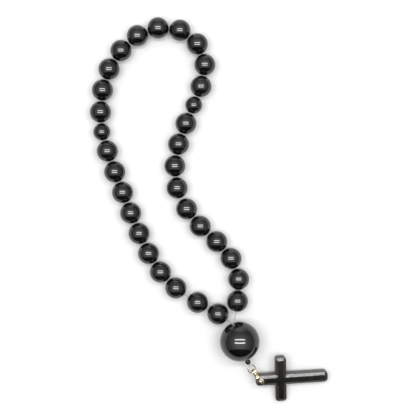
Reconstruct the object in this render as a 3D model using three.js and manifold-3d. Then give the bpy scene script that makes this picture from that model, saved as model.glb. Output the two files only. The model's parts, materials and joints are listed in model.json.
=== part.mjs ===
// A loop rosary: 32 small beads threaded on one thin cord, a large bead where both strands meet, a seed
// bead, a jump ring and a pinch bail that carries a bevelled stone cross. It lies on a table top, z = 0.
// Millimetres, +Z up, +Y from the cross towards the far end of the loop.
import * as THREE from "three";
import { mergeVertices } from "three/addons/utils/BufferGeometryUtils.js";
import Module from "manifold-3d";

const wasm = await Module();
wasm.setup();

// ---- Driving dimensions ----
const BEAD_DIAMETER = 9.7;
const SPACER_DIAMETER = 7.8;
const BEAD_COUNT = 32;
const SPACER_NUMBERS = [11, 22]; // these beads are the smaller spacers
const BEAD_BORE = 1.3;
const BEAD_GAP = 0.3; // between neighbouring beads
const LOOSE_AFTER = { 1: 0.6, 2: 1.8, 26: 0.4, 28: 0.2 }; // extra bare cord after these beads

const LARGE_BEAD_DIAMETER = 18.0;
const LARGE_BEAD_BORE = 2.0;
const LARGE_BEAD_YAW = THREE.MathUtils.degToRad(-68.8); // the bore's heading, towards the seed bead
const LARGE_BEAD_TILT = THREE.MathUtils.degToRad(18); // how far the bore dips on that side

const SEED_BEAD_DIAMETER = 2.5;
const SEED_BEAD_LENGTH = 1.9;
const SEED_BEAD_BORE = 1.3;
const SEED_BEAD_STANDOFF = 0.85; // bare cord between the large bead and the seed bead

const CORD_DIAMETER = 0.4;
const CORD_TURN_RADIUS = 0.78; // where the cord turns round the jump ring's wire
const CORD_TURN_START = 0.27; // the turn starts this far short of the wire's centre
const CORD_TURN_LENGTH = 1.5; // from the seed bead to the ring's wire
const KNOT_DIAMETER = 0.84; // the knot that is hidden in the large bead's bore
const KNOT_DEPTH = 4.0; // how far in from the upper mouth the knot sits
const KNOTTED_STRAND_SHIFT = -0.36; // across the large bead's bore, upwards
const PASSING_STRAND_SHIFT = 0.45;
const SEED_STRAND_SHIFT = 0.27;

const RING_MEAN_DIAMETER = 3.5;
const RING_WIRE = 0.52;
const RING_YAW = THREE.MathUtils.degToRad(-50); // heading from the cord to the bail
const RING_CUT = 0.12; // opening between the wire's two ends

const CROSS_HEAD = 11.4; // from the crossing's centre to the end that hangs
const CROSS_FOOT = 21.5;
const CROSSBAR_LENGTH = 21.3;
const SHAFT_WIDTH = 5.0;
const CROSSBAR_WIDTH = 5.0;
const CROSS_THICKNESS = 4.2;
const FRONT_BEVEL_WIDTH = 1.35; // seen from the front
const FRONT_BEVEL_DEPTH = 0.75; // down the side
const BACK_BEVEL = 0.35;
const SHAFT_CORNER = 1.7; // corner radius at the head and the foot, seen from the front
const CROSSBAR_CORNER = 1.4;
const CROSS_HOLE = 1.5;
const CROSS_HOLE_INSET = 2.0; // from the head's end to the hole's centre
const CROSS_YAW = THREE.MathUtils.degToRad(3);
const CROSS_PITCH = THREE.MathUtils.degToRad(3.9); // the foot is lower than the head
const CROSS_ROLL = THREE.MathUtils.degToRad(15); // it leans on one end of the crossbar

const BAIL_HEADING = THREE.MathUtils.degToRad(124); // in the cross's own plane, from the hole to the loop
const BAIL_WIDTH = 1.7; // of the legs and the loop
const BAIL_LEAF_DIAMETER = 3.3; // of the round leaf at the end of each leg
const BAIL_THICKNESS = 0.5;
const BAIL_PRONG = 0.85;
const BAIL_LOOP_BORE = 1.5;
const BAIL_LOOP_WALL = 0.5;
const BAIL_NECK = 1.0; // height of the neck between the legs and the loop
const BAIL_WEB = 0.5; // from the inside of the legs to the loop's bore
const BAIL_SHOULDER = 0.7; // the length over which the legs close up below the neck
const FIT_CLEARANCE = 0.15; // between the bail's legs and the cross's faces
const SWING_CLEARANCE = 0.2; // between the cross's swinging corner and the bail's shoulder
const TOUCH_GAP = 0.3; // between pieces that meet

// Mesh fineness
const BEAD_SIDES = 14;
const BEAD_ARC_STEPS = 7;
const CORD_SIDES = 8;
const RING_STEPS = 20;
const TURN_STEPS = 6;
const KNOT_SIDES = 10;
const KNOT_RINGS = 6;
const CORNER_STEPS = 3;
const HOLE_SIDES = 12;
const LOOP_STEPS = 8;
const ROUTE_SAMPLES = 4000;
const SAME_POINT = 1e-4; // vertices nearer than this are one vertex

// The loop's route in plan, seen from above, from the first bead's centre to the last's. The large bead's
// centre is the zero of this plan.
const ROUTE = [
  [-9.8, 12.0],
  [-19.3, 17.4],
  [-28.9, 23.8],
  [-36.0, 31.1],
  [-41.3, 39.4],
  [-45.6, 48.5],
  [-53.1, 67.1],
  [-59.9, 85.5],
  [-62.5, 94.3],
  [-63.2, 103.6],
  [-62.3, 113.6],
  [-59.4, 123.1],
  [-53.9, 131.7],
  [-46.4, 138.5],
  [-37.1, 142.0],
  [-27.2, 141.0],
  [-19.3, 134.9],
  [-15.8, 125.6],
  [-17.4, 115.8],
  [-24.4, 98.5],
  [-27.8, 88.9],
  [-29.4, 79.0],
  [-28.3, 69.0],
  [-23.9, 59.5],
  [-17.4, 51.4],
  [-9.9, 44.4],
  [-3.5, 36.6],
  [-0.3, 27.1],
  [-1.0, 17.1],
  [-1.3, 15.6],
];

// ---- Materials ----
const stone = new THREE.MeshStandardMaterial({ color: 0x141416, roughness: 0.12, metalness: 0.0 });
const crossStone = new THREE.MeshStandardMaterial({ color: 0x18161a, roughness: 0.2, metalness: 0.1 });
const seedGlass = new THREE.MeshStandardMaterial({ color: 0x0c0c0d, roughness: 0.15, metalness: 0.0 });
const nylon = new THREE.MeshStandardMaterial({ color: 0x8a8682, roughness: 0.5, metalness: 0.0 });
const silver = new THREE.MeshStandardMaterial({ color: 0xb9b4aa, roughness: 0.25, metalness: 1.0 });
const paleGold = new THREE.MeshStandardMaterial({ color: 0xc9bd8f, roughness: 0.3, metalness: 1.0 });

// ---- Helpers ----

// A path that a tube follows through a list of points, with one tube step at each point.
class PointPath extends THREE.Curve {
  constructor(points) {
    super();
    this.points = points;
  }

  getPoint(t, target = new THREE.Vector3()) {
    const place = t * (this.points.length - 1);
    const index = Math.min(Math.floor(place), this.points.length - 2);
    return target.lerpVectors(this.points[index], this.points[index + 1], place - index);
  }

  getPointAt(u, target) {
    return this.getPoint(u, target);
  }

  getTangentAt(u, target = new THREE.Vector3()) {
    const last = this.points.length - 1;
    const index = Math.round(u * last);
    const before = this.points[Math.max(index - 1, 0)];
    const after = this.points[Math.min(index + 1, last)];
    return target.subVectors(after, before).normalize();
  }
}

// A round tube with closed ends through the points.
function tube(points, diameter, sides) {
  const section = new THREE.Shape();
  for (let i = 0; i < sides; i++) {
    const angle = (2 * Math.PI * i) / sides;
    const x = (diameter / 2) * Math.cos(angle);
    const y = (diameter / 2) * Math.sin(angle);
    if (i === 0) section.moveTo(x, y);
    else section.lineTo(x, y);
  }
  section.closePath();
  return new THREE.ExtrudeGeometry(section, {
    steps: points.length - 1,
    extrudePath: new PointPath(points),
    curveSegments: 1,
  });
}

// A mesh geometry as a manifold-3d solid.
function toSolid(geometry) {
  const bare = geometry.clone();
  bare.deleteAttribute("normal");
  bare.deleteAttribute("uv");
  const merged = mergeVertices(bare, SAME_POINT);
  return new wasm.Manifold(
    new wasm.Mesh({
      numProp: 3,
      vertProperties: merged.attributes.position.array,
      triVerts: new Uint32Array(merged.index.array),
    }),
  );
}

// A manifold-3d solid as a mesh geometry.
function toGeometry(solid) {
  const mesh = solid.getMesh();
  return new THREE.BufferGeometry()
    .setAttribute("position", new THREE.BufferAttribute(mesh.vertProperties, 3))
    .setIndex(new THREE.BufferAttribute(mesh.triVerts, 1));
}

function namedMesh(name, geometry, material) {
  const mesh = new THREE.Mesh(geometry, material);
  mesh.name = name;
  return mesh;
}

// Half the length of a round bead's bore, from its centre to the mouth.
function boreReach(diameter, bore) {
  return Math.sqrt((diameter / 2) ** 2 - (bore / 2) ** 2);
}

// ---- Beads ----

// A round bead with a straight bore along Y: an arc from mouth to mouth, closed down the bore.
function roundBead(diameter, bore) {
  const mouthAngle = Math.acos(bore / diameter);
  const profile = [];
  for (let i = 0; i <= BEAD_ARC_STEPS; i++) {
    const angle = mouthAngle * ((2 * i) / BEAD_ARC_STEPS - 1);
    const x = (diameter / 2) * Math.cos(angle);
    const y = (diameter / 2) * Math.sin(angle);
    profile.push(new THREE.Vector2(x, y));
  }
  profile.push(profile[0].clone());
  return new THREE.LatheGeometry(profile, BEAD_SIDES);
}

// A seed bead: a short ring with a bulging outside, its bore along Y.
function seedBead(diameter, length, bore) {
  const wall = (diameter - bore) / 2;
  const profile = [];
  for (let i = 0; i <= BEAD_ARC_STEPS; i++) {
    const angle = (Math.PI / 2) * ((2 * i) / BEAD_ARC_STEPS - 1);
    const x = bore / 2 + wall * Math.cos(angle);
    const y = (length / 2) * Math.sin(angle);
    profile.push(new THREE.Vector2(x, y));
  }
  profile.push(profile[0].clone());
  return new THREE.LatheGeometry(profile, BEAD_SIDES);
}

// Puts a bead, whose bore is along its own Y, at a centre with its bore along an axis.
function threadOn(mesh, centre, axis) {
  mesh.position.copy(centre);
  mesh.quaternion.setFromUnitVectors(new THREE.Vector3(0, 1, 0), axis);
  return mesh;
}

// The large bead's bore runs down through its centre along this line.
const largeCentre = new THREE.Vector3(0, 0, LARGE_BEAD_DIAMETER / 2);
const boreDown = new THREE.Vector3(
  Math.cos(LARGE_BEAD_YAW) * Math.cos(LARGE_BEAD_TILT),
  Math.sin(LARGE_BEAD_YAW) * Math.cos(LARGE_BEAD_TILT),
  -Math.sin(LARGE_BEAD_TILT),
);
// Square to the bore and as near upright as it can be: the cord's two strands lie one above the other.
const boreRise = new THREE.Vector3(0, 0, 1).addScaledVector(boreDown, Math.sin(LARGE_BEAD_TILT)).normalize();
const largeReach = boreReach(LARGE_BEAD_DIAMETER, LARGE_BEAD_BORE);
const knotPlace = KNOT_DEPTH - largeReach; // along the bore from the large bead's centre

// A point on the large bead's bore line, a distance down from its centre and shifted across the bore.
function onBoreLine(distance, shift) {
  return largeCentre.clone().addScaledVector(boreDown, distance).addScaledVector(boreRise, shift);
}

const seedDistance = LARGE_BEAD_DIAMETER / 2 + SEED_BEAD_STANDOFF + SEED_BEAD_LENGTH / 2;
const seedCentre = onBoreLine(seedDistance, 0);
const ringNear = onBoreLine(seedDistance + SEED_BEAD_LENGTH / 2 + CORD_TURN_LENGTH, 0);

// Bead centres along the route: each is as far from the last as their two radii and the gap.
const route = new THREE.CatmullRomCurve3(
  ROUTE.map(([x, y]) => new THREE.Vector3(x, y, BEAD_DIAMETER / 2)),
  false,
  "centripetal",
);
const routePoints = route.getSpacedPoints(ROUTE_SAMPLES);

function beadDiameter(number) {
  return SPACER_NUMBERS.includes(number) ? SPACER_DIAMETER : BEAD_DIAMETER;
}

// Threads beads until the count is reached, the route ends, or the next bead would touch the first one.
function threadBeads() {
  const beads = [{ number: 1, centre: routePoints[0].clone() }];
  let sample = 1;
  while (beads.length < BEAD_COUNT) {
    const last = beads[beads.length - 1];
    const number = last.number + 1;
    const radii = (beadDiameter(last.number) + beadDiameter(number)) / 2;
    const spacing = radii + BEAD_GAP + (LOOSE_AFTER[last.number] ?? 0);
    while (sample < routePoints.length && routePoints[sample].distanceTo(last.centre) < spacing) sample++;
    if (sample === routePoints.length) break;
    const centre = routePoints[sample].clone();
    const clearOfFirst = (beadDiameter(number) + beadDiameter(1)) / 2;
    if (number > 2 && centre.distanceTo(beads[0].centre) < clearOfFirst) break;
    beads.push({ number, centre });
  }
  return { beads, lastSample: sample };
}

const { beads, lastSample } = threadBeads();
const upperMouth = onBoreLine(-largeReach, 0);
beads.forEach((bead, index) => {
  const before = index === 0 ? upperMouth : beads[index - 1].centre;
  const after = index === beads.length - 1 ? upperMouth : beads[index + 1].centre;
  bead.axis = new THREE.Vector3().subVectors(after, before).normalize();
  bead.reach = boreReach(beadDiameter(bead.number), BEAD_BORE);
});

// ---- Cord ----

// The turn round the jump ring's wire: down one side, half round, and up the other side.
function cordTurn() {
  const points = [];
  for (let i = 0; i <= TURN_STEPS; i++) {
    const angle = Math.PI * (i / TURN_STEPS);
    const down = CORD_TURN_RADIUS * Math.sin(angle) - CORD_TURN_START;
    const rise = -CORD_TURN_RADIUS * Math.cos(angle);
    points.push(ringNear.clone().addScaledVector(boreDown, down).addScaledVector(boreRise, rise));
  }
  return points;
}

// Bare cord past the last bead keeps to the route, a bead's length at a time.
function bareRoute() {
  const step = Math.round((BEAD_DIAMETER / route.getLength()) * ROUTE_SAMPLES);
  const points = [];
  for (let i = lastSample + step; i < routePoints.length - step; i += step) points.push(routePoints[i]);
  return points;
}

// From the knot down through the large bead and the seed bead, round the ring's wire, back up, and round
// the whole loop to the knot's other side.
function cordPoints() {
  const seedTop = seedDistance - SEED_BEAD_LENGTH / 2;
  const seedBottom = seedDistance + SEED_BEAD_LENGTH / 2;
  const knotSide = KNOT_DIAMETER / 2 + TOUCH_GAP;
  const points = [
    onBoreLine(knotPlace + knotSide, KNOTTED_STRAND_SHIFT),
    onBoreLine(largeReach, KNOTTED_STRAND_SHIFT),
    onBoreLine(seedTop, -SEED_STRAND_SHIFT),
    onBoreLine(seedBottom, -SEED_STRAND_SHIFT),
    ...cordTurn(),
    onBoreLine(seedBottom, SEED_STRAND_SHIFT),
    onBoreLine(seedTop, SEED_STRAND_SHIFT),
    onBoreLine(largeReach, PASSING_STRAND_SHIFT),
    onBoreLine(-largeReach, PASSING_STRAND_SHIFT),
  ];
  const loop = [];
  for (const bead of beads) {
    loop.push(bead.centre.clone().addScaledVector(bead.axis, -bead.reach));
    loop.push(bead.centre.clone().addScaledVector(bead.axis, bead.reach));
  }
  loop.push(...bareRoute());
  points.push(...loop.reverse());
  points.push(onBoreLine(-largeReach, KNOTTED_STRAND_SHIFT));
  points.push(onBoreLine(knotPlace - knotSide, KNOTTED_STRAND_SHIFT));
  return points;
}

function cordKnot() {
  const geometry = new THREE.SphereGeometry(KNOT_DIAMETER / 2, KNOT_SIDES, KNOT_RINGS);
  const mesh = namedMesh("cord_knot", geometry, nylon);
  mesh.position.copy(onBoreLine(knotPlace, KNOTTED_STRAND_SHIFT));
  return mesh;
}

// ---- Cross ----

// The cross's outline: rounded corners at the ends of the arms, sharp corners where they meet.
function crossOutline() {
  const shaft = SHAFT_WIDTH / 2;
  const bar = CROSSBAR_WIDTH / 2;
  const reach = CROSSBAR_LENGTH / 2;
  const r = SHAFT_CORNER;
  const b = CROSSBAR_CORNER;
  const quarter = Math.PI / 2;
  const shape = new THREE.Shape();
  shape.moveTo(bar, -shaft);
  shape.lineTo(CROSS_FOOT - r, -shaft);
  shape.absarc(CROSS_FOOT - r, r - shaft, r, -quarter, 0, false);
  shape.absarc(CROSS_FOOT - r, shaft - r, r, 0, quarter, false);
  shape.lineTo(bar, shaft);
  shape.absarc(bar - b, reach - b, b, 0, quarter, false);
  shape.absarc(b - bar, reach - b, b, quarter, 2 * quarter, false);
  shape.lineTo(-bar, shaft);
  shape.absarc(r - CROSS_HEAD, shaft - r, r, quarter, 2 * quarter, false);
  shape.absarc(r - CROSS_HEAD, r - shaft, r, 2 * quarter, 3 * quarter, false);
  shape.lineTo(-bar, -shaft);
  shape.absarc(b - bar, b - reach, b, 2 * quarter, 3 * quarter, false);
  shape.absarc(bar - b, b - reach, b, 3 * quarter, 4 * quarter, false);
  shape.closePath();
  return shape;
}

const holePlace = CROSS_HOLE_INSET - CROSS_HEAD;

// A slab of the cross's outline, bevelled at both ends, from z = 0 up to a height.
function bevelledSlab(bevelWidth, bevelDepth, height) {
  const slab = new THREE.ExtrudeGeometry(crossOutline(), {
    depth: height - 2 * bevelDepth,
    bevelThickness: bevelDepth,
    bevelSize: bevelWidth,
    bevelOffset: -bevelWidth,
    bevelSegments: 1,
    curveSegments: CORNER_STEPS,
  });
  return slab.translate(0, 0, bevelDepth);
}

// The cross, its faces at plus and minus half its thickness. It is what two slabs have in common: one ends
// in the wide front bevel and the other starts with the narrow back bevel. The bail's hole is cut through.
function crossGeometry() {
  const tall = 2 * CROSS_THICKNESS;
  const front = bevelledSlab(FRONT_BEVEL_WIDTH, FRONT_BEVEL_DEPTH, tall);
  front.translate(0, 0, CROSS_THICKNESS / 2 - tall);
  const back = bevelledSlab(BACK_BEVEL, BACK_BEVEL, tall);
  back.translate(0, 0, -CROSS_THICKNESS / 2);
  const drill = new THREE.CylinderGeometry(CROSS_HOLE / 2, CROSS_HOLE / 2, tall, HOLE_SIDES);
  drill.rotateX(Math.PI / 2);
  drill.translate(holePlace, 0, 0);
  return toGeometry(toSolid(front).intersect(toSolid(back)).subtract(toSolid(drill)));
}

// ---- Bail ----

// The cross's rounded corner reaches this far from the hole, so the bail's legs close up beyond it.
const cornerSweep =
  Math.hypot(CROSS_HOLE_INSET - SHAFT_CORNER, SHAFT_WIDTH / 2 - SHAFT_CORNER) + SHAFT_CORNER;
const bailShoulder = cornerSweep + SWING_CLEARANCE;
const bailApex = bailShoulder + BAIL_SHOULDER;
const bailReach = bailApex + BAIL_WEB + BAIL_LOOP_BORE / 2;
const legInside = CROSS_THICKNESS / 2 + FIT_CLEARANCE;

// The bail from the side: two legs, a neck and a loop. X runs from the hole to the loop, Y along the hole.
function bailSide() {
  const inner = legInside;
  const outer = legInside + BAIL_THICKNESS;
  const end = -BAIL_LEAF_DIAMETER / 2;
  const loopRadius = BAIL_LOOP_BORE / 2 + BAIL_LOOP_WALL;
  const neckAngle = Math.PI - Math.asin(BAIL_NECK / 2 / loopRadius);
  const shape = new THREE.Shape();
  shape.moveTo(end, inner);
  shape.lineTo(bailShoulder, inner);
  shape.lineTo(bailApex, 0);
  shape.lineTo(bailShoulder, -inner);
  shape.lineTo(end, -inner);
  shape.lineTo(end, -outer);
  shape.lineTo(bailShoulder, -outer);
  shape.absarc(bailReach, 0, loopRadius, -neckAngle, neckAngle, false);
  shape.lineTo(bailShoulder, outer);
  shape.lineTo(end, outer);
  shape.closePath();
  const bore = new THREE.Path();
  bore.absarc(bailReach, 0, BAIL_LOOP_BORE / 2, 0, 2 * Math.PI, true);
  shape.holes.push(bore);
  return shape;
}

// The bail from the front: a round leaf about the hole, and a straight strap from it to past the loop.
function bailFront() {
  const leaf = BAIL_LEAF_DIAMETER / 2;
  const half = BAIL_WIDTH / 2;
  const joinAngle = Math.asin(half / leaf);
  const end = bailReach + BAIL_LOOP_BORE / 2 + 2 * BAIL_LOOP_WALL;
  const shape = new THREE.Shape();
  shape.moveTo(end, -half);
  shape.lineTo(end, half);
  shape.absarc(0, 0, leaf, joinAngle, 2 * Math.PI - joinAngle, false);
  shape.closePath();
  return shape;
}

// A prong: a round pin from inside a leg's leaf to just short of the cross's mid plane.
function prong(side) {
  const length = legInside + BAIL_THICKNESS / 2 - TOUCH_GAP;
  const pin = new THREE.CylinderGeometry(BAIL_PRONG / 2, BAIL_PRONG / 2, length, HOLE_SIDES);
  pin.rotateX(Math.PI / 2);
  return pin.translate(0, 0, side * (TOUCH_GAP + length / 2));
}

// The bail is what its side and front views have in common, with the two prongs. Z is along the hole.
function bailGeometry() {
  const wide = BAIL_LEAF_DIAMETER;
  const side = new THREE.ExtrudeGeometry(bailSide(), {
    depth: wide,
    bevelEnabled: false,
    curveSegments: LOOP_STEPS,
  });
  side.translate(0, 0, -wide / 2);
  side.rotateX(Math.PI / 2);
  const tall = 2 * (legInside + 2 * BAIL_THICKNESS);
  const front = new THREE.ExtrudeGeometry(bailFront(), {
    depth: tall,
    bevelEnabled: false,
    curveSegments: LOOP_STEPS,
  });
  front.translate(0, 0, -tall / 2);
  const strap = toSolid(side).intersect(toSolid(front));
  return toGeometry(strap.add(toSolid(prong(1))).add(toSolid(prong(-1))));
}

// ---- Pendant: ring, bail and cross, hung from the cord's turn ----

// The cross rests on the table, so its height gives the bail's, and the ring slopes between that and the
// cord. Returns the places of all three.
function hangPendant(crossShape) {
  const turn = new THREE.Quaternion().setFromEuler(
    new THREE.Euler(CROSS_ROLL, CROSS_PITCH, CROSS_YAW, "ZYX"),
  );
  const lowest = new THREE.Box3().setFromBufferAttribute(
    crossShape.clone().applyQuaternion(turn).attributes.position,
  ).min.z;
  const toHole = new THREE.Vector3(holePlace, 0, 0).applyQuaternion(turn);
  const toLoop = new THREE.Vector3(Math.cos(BAIL_HEADING), Math.sin(BAIL_HEADING), 0)
    .multiplyScalar(bailReach)
    .applyQuaternion(turn);
  const loopHeight = -lowest + toHole.z + toLoop.z;
  const slope = Math.asin((loopHeight - ringNear.z) / RING_MEAN_DIAMETER);
  const ringHeading = new THREE.Vector3(
    Math.cos(RING_YAW) * Math.cos(slope),
    Math.sin(RING_YAW) * Math.cos(slope),
    Math.sin(slope),
  );
  const ringCentre = ringNear.clone().addScaledVector(ringHeading, RING_MEAN_DIAMETER / 2);
  const ringFar = ringNear.clone().addScaledVector(ringHeading, RING_MEAN_DIAMETER);
  return { turn, ringHeading, ringCentre, ringFar, crossCentre: ringFar.clone().sub(toLoop).sub(toHole) };
}

// An open jump ring: its cut is a quarter turn from the cord and from the bail.
function jumpRing(place) {
  const radius = RING_MEAN_DIAMETER / 2;
  const halfCut = RING_CUT / RING_MEAN_DIAMETER;
  const points = [];
  for (let i = 0; i <= RING_STEPS; i++) {
    const angle = Math.PI / 2 + halfCut + (2 * Math.PI - 2 * halfCut) * (i / RING_STEPS);
    points.push(new THREE.Vector3(radius * Math.cos(angle), radius * Math.sin(angle), 0));
  }
  const mesh = namedMesh("jump_ring", tube(points, RING_WIRE, CORD_SIDES), silver);
  const side = new THREE.Vector3().crossVectors(new THREE.Vector3(0, 0, 1), place.ringHeading).normalize();
  const normal = new THREE.Vector3().crossVectors(place.ringHeading, side);
  mesh.quaternion.setFromRotationMatrix(new THREE.Matrix4().makeBasis(place.ringHeading, side, normal));
  mesh.position.copy(place.ringCentre);
  return mesh;
}

function crossAndBail(crossShape, place) {
  const group = new THREE.Group();
  group.position.copy(place.crossCentre);
  group.quaternion.copy(place.turn);
  const bail = namedMesh("bail", bailGeometry(), paleGold);
  bail.position.set(holePlace, 0, 0);
  bail.rotation.z = BAIL_HEADING;
  group.add(namedMesh("cross", crossShape, crossStone), bail);
  return group;
}

// ---- Assembly ----
const rosary = new THREE.Group();
rosary.add(namedMesh("cord", tube(cordPoints(), CORD_DIAMETER, CORD_SIDES), nylon), cordKnot());
for (const bead of beads) {
  const name = `bead_${String(bead.number).padStart(2, "0")}`;
  const shape = roundBead(beadDiameter(bead.number), BEAD_BORE);
  rosary.add(threadOn(namedMesh(name, shape, stone), bead.centre, bead.axis));
}
const largeBead = namedMesh("large_bead", roundBead(LARGE_BEAD_DIAMETER, LARGE_BEAD_BORE), stone);
rosary.add(threadOn(largeBead, largeCentre, boreDown));
const seed = seedBead(SEED_BEAD_DIAMETER, SEED_BEAD_LENGTH, SEED_BEAD_BORE);
rosary.add(threadOn(namedMesh("seed_bead", seed, seedGlass), seedCentre, boreDown));
const crossShape = crossGeometry();
const pendant = hangPendant(crossShape);
rosary.add(jumpRing(pendant), crossAndBail(crossShape, pendant));

// The origin is the middle of the rosary's outline on the table, so the whole group moves there.
const outline = new THREE.Box3().setFromObject(rosary, true);
rosary.position.set(-(outline.min.x + outline.max.x) / 2, -(outline.min.y + outline.max.y) / 2, 0);

export default rosary;
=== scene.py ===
"""Looks for a loop rosary that lies on a table: polished black stone beads on a thin nylon cord, a large
bead where the cord's two strands meet, a seed bead, a jump ring, a pinch bail and a bevelled stone cross.

Everything is in metres in the CAD frame. Each sub-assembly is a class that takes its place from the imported
frame's joints, works out its surfaces with numpy and dresses them in a finish.
"""
import json
import logging
import math
from dataclasses import dataclass, field
from enum import Enum

import bmesh
import bpy
import numpy as np
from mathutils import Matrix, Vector
from mathutils.geometry import delaunay_2d_cdt


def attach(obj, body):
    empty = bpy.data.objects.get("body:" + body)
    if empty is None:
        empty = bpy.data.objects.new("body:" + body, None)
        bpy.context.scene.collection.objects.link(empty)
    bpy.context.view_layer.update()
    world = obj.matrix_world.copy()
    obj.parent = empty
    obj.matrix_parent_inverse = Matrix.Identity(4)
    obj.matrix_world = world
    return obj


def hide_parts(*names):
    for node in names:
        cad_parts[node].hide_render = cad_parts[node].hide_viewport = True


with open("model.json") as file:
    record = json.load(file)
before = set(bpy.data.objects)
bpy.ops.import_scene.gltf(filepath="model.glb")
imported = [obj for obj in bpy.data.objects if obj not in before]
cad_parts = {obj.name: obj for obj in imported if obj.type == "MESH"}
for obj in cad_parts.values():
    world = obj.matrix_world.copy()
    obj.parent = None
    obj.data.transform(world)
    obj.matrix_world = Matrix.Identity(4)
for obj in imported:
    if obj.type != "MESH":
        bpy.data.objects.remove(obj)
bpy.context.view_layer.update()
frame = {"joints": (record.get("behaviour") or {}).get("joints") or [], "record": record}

LOG = logging.getLogger("rosary")
MM = 0.001
WELD = 1.0e-6
FULL_TURN = 2 * math.pi
UP = np.array([0.0, 0.0, 1.0])
NEARLY_ALONG_X = 0.9  # the X share past which a line counts as running along X
CORNER_SHARE = 0.45  # the most of a side that one corner's curve takes up
RIPPLE_WAVES = 5
NOISE_EDGES = (0.3, 0.7)  # most of a noise's values lie between these
INSIDE_ONLY = 1  # has the triangulation give just the triangles inside its boundary
NEARNESS = 1e-6  # in mm, how near two points are taken as one by the triangulation


# ---- Places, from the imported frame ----


@dataclass(frozen=True)
class Line:
    """A joint's line: a point on it and its direction."""

    point: np.ndarray
    along: np.ndarray

    @classmethod
    def of_joint(cls, name: str) -> "Line":
        """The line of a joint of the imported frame.

        Args:
            name: The joint's name in the record.

        Returns:
            The line through the joint's point along its axis.
        """
        joint = next(j for j in frame["joints"] if j["name"] == name)
        along = np.array(joint["axis"], float)
        return cls(np.array(joint["pos_m"], float), along / np.linalg.norm(along))

    def at(self, distance: float) -> np.ndarray:
        """The point at a distance along the line."""
        return self.point + distance * self.along

    def radii(self, points: np.ndarray) -> np.ndarray:
        """How far each point is from the line."""
        offset = points - self.point
        return np.linalg.norm(offset - np.outer(offset @ self.along, self.along), axis=1)


@dataclass(frozen=True)
class Axes:
    """A right-handed set of axes at a point, for shapes that are worked out in their own frame."""

    origin: np.ndarray
    x: np.ndarray
    y: np.ndarray
    z: np.ndarray

    @classmethod
    def along_z(cls, line: Line, near_x: np.ndarray) -> "Axes":
        """Axes with Z along a line and X as near as it can be to a direction.

        Args:
            line: Gives the origin and the Z direction.
            near_x: The direction that X leans towards. It isn't parallel to the line.

        Returns:
            The axes.
        """
        x = near_x - (near_x @ line.along) * line.along
        x = x / np.linalg.norm(x)
        return cls(line.point, x, np.cross(line.along, x), line.along)

    def place(self, local: np.ndarray) -> np.ndarray:
        """Points (..., 3) in these axes as points in the CAD frame."""
        return self.origin + local @ np.stack([self.x, self.y, self.z])


# ---- Surfaces ----


def lattice(rows: int, columns: int, close_rows: bool = False, close_columns: bool = True) -> np.ndarray:
    """The quads of a grid of points. Point (i, j) has number i * columns + j, and a quad joins (i, j),
    (i, j + 1), (i + 1, j + 1) and (i + 1, j), counted round the grid where it closes on itself.

    Args:
        rows: How many rows of points.
        columns: How many points in a row.
        close_rows: Whether the last row joins the first.
        close_columns: Whether a row's last point joins its first.

    Returns:
        An array of quads, four point numbers each.
    """
    i, j = np.meshgrid(
        np.arange(rows if close_rows else rows - 1),
        np.arange(columns if close_columns else columns - 1),
        indexing="ij",
    )
    below, beside = (i + 1) % rows, (j + 1) % columns
    corners = [(i, j), (i, beside), (below, beside), (below, j)]
    return np.stack([row * columns + column for row, column in corners], -1).reshape(-1, 4)


@dataclass
class Patch:
    """Part of a surface: its points and the faces between them."""

    points: np.ndarray
    faces: list[list[int]]

    @classmethod
    def from_grid(cls, points: np.ndarray, close_rows: bool = False, close_columns: bool = True) -> "Patch":
        """A patch from a grid of points, with quads between them.

        Args:
            points: The points, (rows, columns, 3).
            close_rows: Whether the last row joins the first.
            close_columns: Whether a row's last point joins its first.

        Returns:
            The patch.
        """
        rows, columns = points.shape[:2]
        quads = lattice(rows, columns, close_rows, close_columns)
        return cls(points.reshape(-1, 3), quads.tolist())


def add_piece(name: str, patches: list[Patch]) -> bpy.types.Object:
    """Joins patches into one smooth-shaded mesh object, with shared edges welded and its faces turned out.

    Args:
        name: The piece's name.
        patches: The parts of its surface.

    Returns:
        The new object, at the origin, with its place in its mesh.
    """
    points = np.concatenate([patch.points for patch in patches])
    starts = np.cumsum([0] + [len(patch.points) for patch in patches[:-1]])
    faces = [
        [start + corner for corner in face] for start, patch in zip(starts, patches) for face in patch.faces
    ]
    mesh = bpy.data.meshes.new(name)
    mesh.from_pydata(points.tolist(), [], faces)
    work = bmesh.new()
    work.from_mesh(mesh)
    bmesh.ops.remove_doubles(work, verts=work.verts, dist=WELD)
    bmesh.ops.recalc_face_normals(work, faces=work.faces)
    work.to_mesh(mesh)
    work.free()
    mesh.shade_smooth()
    piece = bpy.data.objects.new(name, mesh)
    bpy.context.scene.collection.objects.link(piece)
    return piece


def vertex_array(piece: bpy.types.Object) -> np.ndarray:
    """A piece's vertices.

    Args:
        piece: The piece.

    Returns:
        Their places, (count, 3).
    """
    flat = np.empty(3 * len(piece.data.vertices), np.float32)
    piece.data.vertices.foreach_get("co", flat)
    return flat.reshape(-1, 3).astype(float)


def mark(piece: bpy.types.Object, name: str, values: np.ndarray) -> None:
    """Stores one number for each vertex of a piece, for its finish to read.

    Args:
        piece: The piece.
        name: The attribute's name.
        values: One value for each vertex.
    """
    attribute = piece.data.attributes.new(name, "FLOAT", "POINT")
    attribute.data.foreach_set("value", values.astype(np.float32))


def settle(piece: bpy.types.Object, finish: "Finish", body: str, *nodes: str) -> None:
    """Dresses a piece, makes it ride on its body and lets it stand for its CAD nodes.

    Args:
        piece: The piece.
        finish: What it is dressed in.
        body: The CAD body that it rides on.
        nodes: The CAD nodes that it stands for.
    """
    piece.data.materials.append(finish.material())
    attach(piece, body)
    if nodes:
        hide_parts(*nodes)
    LOG.info("%s: %d faces, rides on %s", piece.name, len(piece.data.polygons), body)


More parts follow.
